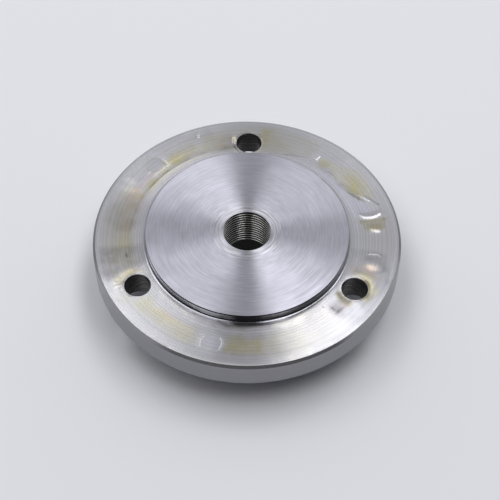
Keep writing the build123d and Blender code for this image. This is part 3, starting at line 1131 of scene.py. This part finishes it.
@dataclass
class OilFilm:
    """All the dried oil on the flange, as a height and as a stain at each point of its face, painted
    highlights and shade in the stain.
    """

    sizes: PlateSizes
    inner: float
    full_thickness: float = 0.006 * MM
    border: float = 0.35 * MM
    thin_share: float = 0.35
    sharp_edge: float = 0.55

    def __post_init__(self) -> None:
        """Keep the bolt holes' centres."""
        self.holes = self.sizes.hole_centres()

    def clearance(self, place: Vector) -> float:
        """Measure from a point to the nearest edge of the face.

        Args:
            place: The point.

        Returns:
            The distance, less than 0 off the face.
        """
        radius = place.length
        to_hole = min((place - centre).length for centre in self.holes) - self.sizes.hole_mouth
        return min(radius - self.inner, self.sizes.land_radius - radius, to_hole)

    def thickness(self, place: Vector) -> float:
        """Add up the marks' films at a point.

        Args:
            place: The point.

        Returns:
            The film's share of its full thickness.
        """
        share = self.thin_share
        for mark in OIL_MARKS:
            share += (mark.film - share) * mark.cover(place)
        return share

    def height(self, place: Vector) -> float:
        """Return how far the oil stands above the steel at a point, and nothing at the face's edges."""
        rise = self.thickness(place) * self.full_thickness + max(lip.rise(place) for lip in OIL_RIDGES)
        return rise * smooth_step(0.0, self.border, self.clearance(place))

    def is_busy(self, place: Vector) -> bool:
        """Say whether the face needs closer points here, for the edge of a sharp mark."""
        sharp = (mark for mark in OIL_MARKS if mark.edge < self.sharp_edge)
        return any(abs(mark.distance(place)) < mark.edge for mark in sharp)

    def stain(self, place: Vector) -> Colour:
        """Multiply the marks' stains, painted highlights and shade among them, at a point.

        Args:
            place: The point.

        Returns:
            What the steel's red, green and blue are multiplied by, and a full alpha.
        """
        colour = [1.0, 1.0, 1.0]
        for mark in OIL_MARKS:
            amount = mark.strength * mark.cover(place)
            if amount > 0.0:
                colour = [c * (1.0 + (t - 1.0) * amount) for c, t in zip(colour, mark.stain.value)]
        return (*colour, 1.0)


class SectionRule:
    """A Geometry Nodes tree that lays a section out round the axis, run once on a helper object."""

    MERGE = 1e-7
    HALF_STEP = 0.5

    def __init__(self, name: str, sizes: Sequence[str] = ()) -> None:
        """Start the tree.

        Args:
            name: The tree's name.
            sizes: Names of its inputs besides the section, the segments of a turn and the material.
        """
        self.tree = bpy.data.node_groups.new(name, "GeometryNodeTree")
        face = self.tree.interface
        face.new_socket("Geometry", in_out="INPUT", socket_type="NodeSocketGeometry")
        face.new_socket("Segments", in_out="INPUT", socket_type="NodeSocketInt")
        face.new_socket("Material", in_out="INPUT", socket_type="NodeSocketMaterial")
        for label in sizes:
            face.new_socket(label, in_out="INPUT", socket_type="NodeSocketFloat")
        face.new_socket("Geometry", in_out="OUTPUT", socket_type="NodeSocketGeometry")
        self.sheet = Sheet(self.tree)
        self.given = self.sheet.add("NodeGroupInput").outputs

    def grid(self, columns: Socket) -> tuple[Socket, Socket, Sequence[Socket]]:
        """Lay out a grid with a column for each step round the axis and a row for each section point.

        Args:
            columns: Number of columns.

        Returns:
            The grid, the turns that a grid point has made, and the axes of its section point.
        """
        sheet, section = self.sheet, self.given["Geometry"]
        rows = sheet.add("GeometryNodeAttributeDomainSize", {"Geometry": section}).outputs["Point Count"]
        grid = sheet.add("GeometryNodeMeshGrid", {"Vertices X": columns, "Vertices Y": rows}).outputs[0]
        index = sheet.add("GeometryNodeInputIndex").outputs[0]
        share = sheet.math("DIVIDE", sheet.math("ADD", index, self.HALF_STEP), rows)
        column = sheet.math("FLOOR", share)
        row = sheet.math("SUBTRACT", index, sheet.math("MULTIPLY", column, rows))
        place = sheet.add("GeometryNodeInputPosition").outputs[0]
        inputs = {"Geometry": section, "Value": place, "Index": row}
        point = sheet.add("GeometryNodeSampleIndex", inputs, data_type="FLOAT_VECTOR").outputs[0]
        axes = sheet.add("ShaderNodeSeparateXYZ", {0: point}).outputs
        return grid, sheet.math("DIVIDE", column, self.given["Segments"]), axes

    def finish(self, grid: Socket, radius: Socket, turn: Socket, height: Socket) -> None:
        """Place the grid's points, weld them, make the surface real, give it its material and end the tree.

        Args:
            grid: The grid.
            radius: Distance of each of its points from the axis.
            turn: Turns that each has made round the axis.
            height: Height of each.
        """
        sheet = self.sheet
        angle = sheet.math("MULTIPLY", turn, math.tau)
        x = sheet.math("MULTIPLY", radius, sheet.math("COSINE", angle))
        y = sheet.math("MULTIPLY", radius, sheet.math("SINE", angle))
        place = sheet.add("ShaderNodeCombineXYZ", {0: x, 1: y, 2: height}).outputs[0]
        placed = sheet.add("GeometryNodeSetPosition", {"Geometry": grid, "Position": place}).outputs[0]
        inputs = {"Geometry": placed, "Distance": self.MERGE}
        welded = sheet.add("GeometryNodeMergeByDistance", inputs).outputs[0]
        real = sheet.add("GeometryNodeRealizeInstances", {"Geometry": welded}).outputs[0]
        inputs = {"Geometry": real, "Material": self.given["Material"]}
        dressed = sheet.add("GeometryNodeSetMaterial", inputs).outputs[0]
        sheet.add("NodeGroupOutput", {"Geometry": dressed})

    def run(self, section: Sequence[Point], values: dict[str, object]) -> bpy.types.Mesh:
        """Run the tree on a section and return the plain mesh.

        Args:
            section: Radius and height of each point of the section.
            values: Value for each named input.

        Returns:
            The finished mesh.
        """
        mesh = bpy.data.meshes.new(self.tree.name)
        points = [(radius, 0.0, height) for radius, height in section]
        mesh.from_pydata(points, [(i, i + 1) for i in range(len(points) - 1)], [])
        helper = bpy.data.objects.new(self.tree.name, mesh)
        bpy.context.scene.collection.objects.link(helper)
        modifier = helper.modifiers.new("rule", "NODES")
        modifier.node_group = self.tree
        for item in self.tree.interface.items_tree:
            if item.item_type == "SOCKET" and item.in_out == "INPUT" and item.name in values:
                modifier[item.identifier] = values[item.name]
        depsgraph = bpy.context.evaluated_depsgraph_get()
        result = bpy.data.meshes.new_from_object(helper.evaluated_get(depsgraph))
        helper.modifiers.remove(modifier)
        bpy.data.objects.remove(helper)
        return result


class TurningRule(SectionRule):
    """Turns a section of radii and heights into a surface round the axis, as a lathe does."""

    def __init__(self) -> None:
        """Build the tree: a grid whose rows take their radius and height from the section."""
        super().__init__("turning_rule")
        grid, turn, axes = self.grid(self.sheet.math("ADD", self.given["Segments"], 1.0))
        self.finish(grid, axes[0], turn, axes[2])


class ThreadRule(SectionRule):
    """Winds one pitch of a thread's section up the bore, and lets its groove run out at both ends.

    The section's points are depths below the crest and heights within the pitch.
    """

    def __init__(self) -> None:
        """Build the tree: a strip one pitch high that climbs one pitch for each turn."""
        super().__init__("thread_rule", ("Turns", "Pitch", "Radius", "Low", "High", "Run Out"))
        sheet, given = self.sheet, self.given
        columns = sheet.math("ADD", sheet.math("MULTIPLY", given["Turns"], given["Segments"]), 1.0)
        grid, turn, axes = self.grid(columns)
        climb = sheet.math("MULTIPLY", sheet.math("SUBTRACT", turn, 1.0), given["Pitch"])
        free = sheet.math("ADD", sheet.math("ADD", climb, axes[2]), given["Low"])
        height = sheet.math("MINIMUM", sheet.math("MAXIMUM", free, given["Low"]), given["High"])
        from_low = sheet.math("SUBTRACT", height, given["Low"])
        from_high = sheet.math("SUBTRACT", given["High"], height)
        entry = sheet.math("DIVIDE", from_low, given["Run Out"], clamp=True)
        leave = sheet.math("DIVIDE", from_high, given["Run Out"], clamp=True)
        depth = sheet.math("MULTIPLY", axes[0], sheet.math("MULTIPLY", entry, leave))
        self.finish(grid, sheet.math("ADD", given["Radius"], depth), turn, height)


def inside_loop(place: Vector, loop: Sequence[Vector]) -> bool:
    """Say whether a point lies inside a loop that is nearly a circle."""
    centre = sum(loop, Vector((0.0, 0.0))) / len(loop)
    return (place - centre).length < (loop[0] - centre).length


@dataclass
class SteelMesh:
    """The plate's mesh while its surfaces are gathered and welded."""

    SAME_POINT = 1e-7
    WELD = 2e-7
    ALL_TRIANGLES = 0

    work: bmesh.types.BMesh = field(default_factory=bmesh.new)

    def take(self, mesh: bpy.types.Mesh, region: Region) -> None:
        """Add a finished surface.

        Args:
            mesh: The surface, which is used up.
            region: The region of its faces.
        """
        first = len(self.work.faces)
        self.work.from_mesh(mesh)
        self.work.faces.ensure_lookup_table()
        for face in self.work.faces[first:]:
            face.material_index = region.value
        bpy.data.meshes.remove(mesh)

    def flat_face(
        self,
        loops: Sequence[Sequence[Vector]],
        inside: Iterable[Vector],
        region: Region,
        height: Callable[[Vector], float],
    ) -> None:
        """Add a face between closed loops, through points that lie between them.

        Args:
            loops: The outer loop first, then each hole in the face.
            inside: Free points of the face.
            region: The region of its faces.
            height: The face's height at a point.
        """
        points = [p for loop in loops for p in loop] + list(inside)
        edges, start = [], 0
        for loop in loops:
            count = len(loop)
            edges += [(start + i, start + (i + 1) % count) for i in range(count)]
            start += count
        cut = delaunay_2d_cdt(points, edges, [], self.ALL_TRIANGLES, self.SAME_POINT)
        corners, faces = cut[0], cut[2]
        made = [self.work.verts.new((p.x, p.y, height(p))) for p in corners]
        for face in faces:
            middle = sum((corners[i] for i in face), Vector((0.0, 0.0))) / len(face)
            if inside_loop(middle, loops[0]) and not any(inside_loop(middle, hole) for hole in loops[1:]):
                self.work.faces.new([made[i] for i in face]).material_index = region.value
        for vertex in made:
            if not vertex.link_faces:
                self.work.verts.remove(vertex)

    def weld(self, name: str) -> bpy.types.Object:
        """Close the mesh and turn its faces outwards.

        Args:
            name: The piece's name.

        Returns:
            The piece, in the scene.
        """
        bmesh.ops.remove_doubles(self.work, verts=self.work.verts, dist=self.WELD)
        bmesh.ops.dissolve_degenerate(self.work, edges=self.work.edges, dist=self.WELD)
        bmesh.ops.recalc_face_normals(self.work, faces=self.work.faces)
        open_edges = sum(not edge.is_manifold for edge in self.work.edges)
        if open_edges:
            log.warning("%s has %d open edges", name, open_edges)
        mesh = bpy.data.meshes.new(name)
        self.work.to_mesh(mesh)
        self.work.free()
        piece = bpy.data.objects.new(name, mesh)
        bpy.context.scene.collection.objects.link(piece)
        return piece


@dataclass
class Backplate:
    """The turned plate: its surfaces, its thread and its dried oil.

    A step is the mean distance between points of a surface, and a depth is how far the tool's deepest
    ring goes below it. The face's rings are deeper at the thread, by bore_depth, and that fades out
    over bore_reach.
    """

    sizes: PlateSizes
    segments: int = 360
    bore_segments: int = 120
    hole_segments: int = 64
    arc_steps: int = 6
    seed: int = 14
    mouth_width: float = 0.25 * MM
    skirt_width: float = 1.4 * MM
    ring_jitter: float = 0.3
    face_step: float = 0.26 * MM
    face_depth: float = 0.5e-6
    bore_depth: float = 4.0e-6
    bore_reach: float = 4.5 * MM
    skirt_step: float = 0.14 * MM
    skirt_depth: float = 6.0e-6
    rim_step: float = 0.24 * MM
    rim_depth: float = 2.5e-6
    spare_turns: float = 2.0
    run_out: float = 0.3 * MM
    oil_step: float = 0.42 * MM
    oil_margin: float = 0.12 * MM
    paint_below: float = 0.02 * MM
    paint_above: float = 0.3 * MM
    paint_inside: float = 0.01 * MM
    sharp_angle: float = 24.0

    def __post_init__(self) -> None:
        """Work out where turned rings give way to flat faces, and make the rules and the materials."""
        self.mouth_ring = self.sizes.thread_radius + self.mouth_width
        self.oil_ring = self.sizes.foot_radius + self.skirt_width
        self.oil = OilFilm(self.sizes, self.oil_ring)
        self.turning = TurningRule()
        self.steel = SteelMesh()
        self.materials = {region: finish.material() for region, finish in FINISHES.items()}

    def turned(self, section: Sequence[Point], region: Region, segments: int) -> None:
        """Add the surface of a section that is turned round the axis."""
        values = {"Segments": segments, "Material": self.materials[region]}
        self.steel.take(self.turning.run(section, values), region)

    def section_arc(self, centre: Point, radius: float, first: float, last: float) -> list[Point]:
        """Lay out an arc of a section.

        Args:
            centre: The arc's centre, a radius and a height.
            radius: The arc's own radius.
            first: Angle where it starts, in degrees.
            last: Angle where it ends.

        Returns:
            Radius and height of each of its points.
        """
        angles = (first + (last - first) * i / self.arc_steps for i in range(self.arc_steps + 1))
        places = (polar(radius, angle) for angle in angles)
        return [(centre[0] + place.x, centre[1] + place.y) for place in places]

    def ring_relief(
        self, first: float, last: float, step: float, depth: Callable[[float], float]
    ) -> list[Point]:
        """Lay out a turned face as offsets from flat: one low ridge or furrow after another.

        Args:
            first: Radius where the face starts.
            last: Radius where it ends.
            step: Mean distance between neighbouring points.
            depth: Greatest offset of the rings at a radius.

        Returns:
            Radius and offset of each point, with no offset at either end.
        """
        draw = random.Random(self.seed)
        count = round((last - first) / step)
        rings = [(first, 0.0)]
        for i in range(1, count):
            shift = draw.uniform(-self.ring_jitter, self.ring_jitter)
            radius = first + (last - first) * (i + shift) / count
            rings.append((radius, depth(radius) * draw.uniform(-1.0, 1.0)))
        return rings + [(last, 0.0)]

    def face_ring_depth(self, radius: float) -> float:
        """Return how deep the rings of the register's face go at a radius, deepest at the thread."""
        thread = self.sizes.thread_radius
        return self.face_depth + self.bore_depth * smooth_step(thread + self.bore_reach, thread, radius)

    def build_register(self) -> None:
        """Add the register: its ringed face, broken edge, wall and foot, and the flange's first rings."""
        s = self.sizes
        edge = s.register_radius - s.register_chamfer
        rings = self.ring_relief(self.mouth_ring, edge, self.face_step, self.face_ring_depth)
        face = [(radius, s.front - abs(offset)) for radius, offset in rings]
        self.turned(face, Region.FACE, self.segments)
        wall_top = (s.register_radius, s.front - s.register_chamfer)
        foot_centre = (s.foot_radius, s.seat + s.register_foot)
        foot = self.section_arc(foot_centre, s.register_foot, 180.0, 270.0)
        self.turned([(edge, s.front), wall_top] + foot, Region.STEP, self.segments)
        rings = self.ring_relief(
            s.foot_radius, self.oil_ring, self.skirt_step, lambda radius: self.skirt_depth
        )
        skirt = [(radius, s.seat - abs(offset)) for radius, offset in rings]
        self.turned(skirt, Region.OILED, self.segments)

    def build_rim(self) -> None:
        """Add the rim: both broken edges and the turned side with its feed marks."""
        s = self.sizes
        low, high = s.back + s.rim_chamfer, s.seat - s.rim_chamfer
        marks = self.ring_relief(low, high, self.rim_step, lambda height: self.rim_depth)
        side = [(s.rim_radius - abs(offset), height) for height, offset in marks]
        self.turned([(s.land_radius, s.back), side[0]], Region.EDGE, self.segments)
        self.turned(side, Region.RIM, self.segments)
        self.turned([side[-1], (s.land_radius, s.seat)], Region.EDGE, self.segments)

    def build_hub(self) -> None:
        """Add the hub on the back: its foot, wall, broken edge and flat end."""
        s = self.sizes
        foot = self.section_arc((s.hub_radius + s.hub_foot, s.back - s.hub_foot), s.hub_foot, 90.0, 180.0)
        end = s.hub_radius - s.hub_chamfer
        self.turned(foot + [(s.hub_radius, s.hub_chamfer), (end, 0.0)], Region.RIM, self.segments)
        mouth = s.pilot_radius + s.pilot_chamfer
        loops = [circle(end, self.segments), circle(mouth, self.bore_segments)]
        self.steel.flat_face(loops, [], Region.RIM, lambda place: 0.0)

    def build_bore(self) -> None:
        """Add the pilot bore, the chamfer behind the thread and the flat ring at the thread's mouth."""
        s = self.sizes
        entry = s.thread_radius + s.thread_entry
        floor = s.thread_start - s.thread_entry
        pilot = [
            (s.pilot_radius + s.pilot_chamfer, 0.0),
            (s.pilot_radius, s.pilot_chamfer),
            (s.pilot_radius, floor),
            (entry, floor),
            (s.thread_radius, s.thread_start),
        ]
        self.turned(pilot, Region.THREAD, self.bore_segments)
        loops = [circle(self.mouth_ring, self.segments), circle(s.thread_radius, self.bore_segments)]
        self.steel.flat_face(loops, [], Region.FACE, lambda place: s.front)

    def build_thread(self) -> None:
        """Add the spindle thread: straight flanks, a crest a quarter of a pitch wide and a narrow root."""
        s = self.sizes
        pitch = s.thread_pitch
        depth = 5 / 8 * math.sqrt(3) / 2 * pitch
        half_depth, root_depth = depth * 0.5, depth * 0.94
        section = [
            (0.0, 0.0),
            (0.0, pitch / 8),
            (half_depth, pitch * 9 / 32),
            (root_depth, pitch * 0.42),
            (depth, pitch / 2),
            (root_depth, pitch * 0.58),
            (half_depth, pitch * 23 / 32),
            (0.0, pitch * 7 / 8),
            (0.0, pitch),
        ]
        values = {
            "Turns": math.ceil(s.thread_length / pitch) + self.spare_turns,
            "Segments": self.bore_segments,
            "Pitch": pitch,
            "Radius": s.thread_radius,
            "Low": s.thread_start,
            "High": s.front,
            "Run Out": self.run_out,
            "Material": self.materials[Region.THREAD],
        }
        self.steel.take(ThreadRule().run(section, values), Region.THREAD)

    def build_flange(self) -> None:
        """Add both faces of the flange, the front one with its oil."""
        s = self.sizes
        holes = [circle(s.hole_mouth, self.hole_segments, centre) for centre in s.hole_centres()]
        outer = circle(s.land_radius, self.segments)
        front = [outer, circle(self.oil_ring, self.segments)] + holes
        self.steel.flat_face(
            front, self.oil_points(), Region.OILED, lambda place: s.seat + self.oil.height(place)
        )
        back = [outer, circle(s.hub_radius + s.hub_foot, self.segments)] + holes
        self.steel.flat_face(back, [], Region.RIM, lambda place: s.back)

    def build_holes(self) -> None:
        """Add the bolt holes: a wall and two broken mouths each."""
        s = self.sizes
        top, bottom = s.seat - s.hole_chamfer, s.back + s.hole_chamfer
        parts = (
            (Region.EDGE, [(s.hole_mouth, s.seat), (s.hole_radius, top)]),
            (Region.HOLE, [(s.hole_radius, top), (s.hole_radius, bottom)]),
            (Region.EDGE, [(s.hole_radius, bottom), (s.hole_mouth, s.back)]),
        )
        for centre in s.hole_centres():
            for region, section in parts:
                values = {"Segments": self.hole_segments, "Material": self.materials[region]}
                mesh = self.turning.run(section, values)
                mesh.transform(Matrix.Translation((centre.x, centre.y, 0.0)))
                self.steel.take(mesh, region)

    def oil_points(self) -> list[Vector]:
        """Lay out the free points of the oiled face, closer together at the oil's lips and sharp edges.

        Rows of points run round the axis at half the step. Every second point of every second row is
        kept, and the others only where a mark has a sharp edge. A lip has a grid of its own.

        Returns:
            The points.
        """
        lips = [place for lip in OIL_RIDGES for place in lip.grid()]
        points = [place for place in lips if self.oil.clearance(place) > self.oil_margin]
        width = self.sizes.land_radius - self.oil_ring
        rows = 2 * round(width / self.oil_step)
        for row in range(1, rows):
            radius = self.oil_ring + width * row / rows
            count = 2 * round(math.tau * radius / self.oil_step)
            for i in range(count):
                place = polar(radius, 360.0 * (i + row // 2 % 2) / count)
                if self.oil.clearance(place) < self.oil_margin:
                    continue
                if any(lip.covers(place) for lip in OIL_RIDGES):
                    continue
                if (row % 2 == 0 and i % 2 == 0) or self.oil.is_busy(place):
                    points.append(place)
        return points

    def paint_oil(self, mesh: bpy.types.Mesh) -> None:
        """Write the oil's stain, with its painted highlights and shade, and its thickness to the points of
        the flange's front.

        Args:
            mesh: The plate's mesh.
        """
        stains_and_painted_light = [1.0] * (4 * len(mesh.vertices))
        films = [0.0] * len(mesh.vertices)
        low, high = self.sizes.seat - self.paint_below, self.sizes.seat + self.paint_above
        inner = self.sizes.foot_radius - self.paint_inside
        for vertex in mesh.vertices:
            place = vertex.co.xy
            if low < vertex.co.z < high and place.length > inner:
                stains_and_painted_light[4 * vertex.index : 4 * vertex.index + 4] = self.oil.stain(place)
                films[vertex.index] = self.oil.thickness(place)
        stain = mesh.attributes.new(OilAttribute.STAIN_AND_PAINTED_LIGHT.value, "FLOAT_COLOR", "POINT")
        stain.data.foreach_set("color", stains_and_painted_light)
        film = mesh.attributes.new(OilAttribute.FILM.value, "FLOAT", "POINT")
        film.data.foreach_set("value", films)

    def build(self) -> bpy.types.Object:
        """Build the whole plate as one closed piece and put it in place of the solid.

        Returns:
            The finished piece.
        """
        self.build_register()
        self.build_rim()
        self.build_hub()
        self.build_bore()
        self.build_thread()
        self.build_flange()
        self.build_holes()
        piece = self.steel.weld("turned_backplate")
        mesh = piece.data
        for region in Region:
            mesh.materials.append(self.materials[region])
        mesh.shade_smooth()
        mesh.set_sharp_from_angle(angle=math.radians(self.sharp_angle))
        self.paint_oil(mesh)
        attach(piece, BODY)
        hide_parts(NODE)
        mesh.calc_loop_triangles()
        log.info("%s: %d triangles", piece.name, len(mesh.loop_triangles))
        return piece


@dataclass(frozen=True)
class SoftPanel:
    """A level light panel overhead. Its edges are given as slopes: metres aside for each metre up."""

    name: str
    left: float
    right: float
    front: float
    back: float
    brightness: float
    height: float = 2.0

    def build(self) -> bpy.types.Object:
        """Hang the panel.

        Returns:
            The lamp.
        """
        width = (self.right - self.left) * self.height
        depth = (self.back - self.front) * self.height
        light = bpy.data.lights.new(self.name, "AREA")
        light.shape = "RECTANGLE"
        light.size, light.size_y = width, depth
        light.energy = self.brightness * math.pi * width * depth
        lamp = bpy.data.objects.new(self.name, light)
        middle_x = (self.left + self.right) / 2 * self.height
        middle_y = (self.front + self.back) / 2 * self.height
        lamp.location = (middle_x, middle_y, self.height)
        bpy.context.scene.collection.objects.link(lamp)
        return lamp


@dataclass(frozen=True)
class Studio:
    """The pale table, the panels over it and the room round them.

    The table is a little darker towards the camera, as painted shade. The room is dark there and pale
    behind the plate, and changes between room_near and room_far, which are parts of a direction that points
    to +Y.
    """

    floor_colour: Colour = (0.805, 0.808, 0.855, 1.0)
    floor_roughness: float = 0.7
    floor_near: float = -0.15
    floor_far: float = 0.2
    floor_fade: float = 0.045
    floor_size: float = 4.0
    room_colour: Colour = (0.97, 0.98, 1.0, 1.0)
    room_near: float = -0.45
    room_far: float = 0.5
    room_front: float = 0.012
    room_back: float = 0.6
    panels: tuple[SoftPanel, ...] = (
        SoftPanel("right_panel", 0.13, 0.42, -0.40, 0.60, 4.6),
        SoftPanel("left_panel", -0.63, -0.17, -0.69, 0.65, 2.45),
    )

    def table_paper(self) -> bpy.types.Material:
        """Make the table top's paper.

        Returns:
            The material.
        """
        material = bpy.data.materials.new("table_paper")
        material.use_nodes = True
        sheet = Sheet(material.node_tree)
        depth = sheet.add("ShaderNodeSeparateXYZ", {0: sheet.place()}).outputs["Y"]
        low, high = 1.0 - self.floor_fade, 1.0 + self.floor_fade
        # Painted shade: the paper darkens towards the camera
        shade = sheet.span(depth, self.floor_near, self.floor_far, low, high)
        colour = sheet.times(self.floor_colour, sheet.grey(shade))
        inputs = {"Base Color": colour, "Roughness": self.floor_roughness}
        shader = sheet.add("ShaderNodeBsdfPrincipled", inputs)
        sheet.add("ShaderNodeOutputMaterial", {0: shader.outputs[0]})
        return material

    def build_floor(self) -> None:
        """Lay the pale table top that the plate stands on."""
        half = self.floor_size / 2
        corners = [(-half, -half, 0), (half, -half, 0), (half, half, 0), (-half, half, 0)]
        mesh = bpy.data.meshes.new("table_top")
        mesh.from_pydata(corners, [], [(0, 1, 2, 3)])
        floor = bpy.data.objects.new("table_top", mesh)
        bpy.context.scene.collection.objects.link(floor)
        mesh.materials.append(self.table_paper())

    def build_room(self) -> None:
        """Light the room round the table: pale behind the plate, dark on the camera's side."""
        world = bpy.data.worlds.new("room")
        bpy.context.scene.world = world
        world.use_nodes = True
        sheet = Sheet(world.node_tree)
        way = sheet.add("ShaderNodeTexCoord").outputs["Generated"]
        towards = sheet.add("ShaderNodeSeparateXYZ", {0: way}).outputs["Y"]
        strength = sheet.span(towards, self.room_near, self.room_far, self.room_front, self.room_back)
        light = sheet.add("ShaderNodeBackground", {"Color": self.room_colour, "Strength": strength})
        sheet.add("ShaderNodeOutputWorld", {0: light.outputs[0]})

    def build(self) -> None:
        """Build the table, the room and the lights."""
        self.build_floor()
        self.build_room()
        for panel in self.panels:
            panel.build()
            log.info("light %s", panel.name)
        bpy.context.scene.view_settings.view_transform = "Standard"


@dataclass(frozen=True)
class StudioCamera:
    """The camera, looking down on the plate's front from the side opposite the first bolt hole."""

    place: tuple[float, float, float] = (1.81 * MM, -246.93 * MM, 349.53 * MM)
    target: tuple[float, float, float] = (0.85 * MM, -4.42 * MM, 18.0 * MM)
    roll: float = 0.755
    lens: float = 110.48
    sensor: float = 36.0
    clip_start: float = 0.01

    def build(self) -> bpy.types.Object:
        """Create the camera and make it the scene's own.

        Returns:
            The camera.
        """
        data = bpy.data.cameras.new("studio_camera")
        data.sensor_width = self.sensor
        data.lens = self.lens
        data.clip_start = self.clip_start
        camera = bpy.data.objects.new("studio_camera", data)
        bpy.context.scene.collection.objects.link(camera)
        view = Vector(self.target) - Vector(self.place)
        aim = view.to_track_quat("-Z", "Y").to_matrix().to_4x4()
        turn = aim @ Matrix.Rotation(math.radians(self.roll), 4, "Z")
        camera.matrix_world = Matrix.Translation(self.place) @ turn
        bpy.context.scene.camera = camera
        return camera


def main() -> None:
    """Build the plate and its studio."""
    logging.basicConfig(level=logging.INFO, format="%(message)s")
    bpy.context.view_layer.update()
    StudioCamera().build()
    Backplate(PlateSizes.from_frame()).build()
    Studio().build()


if __name__ == "__main__":
    main()
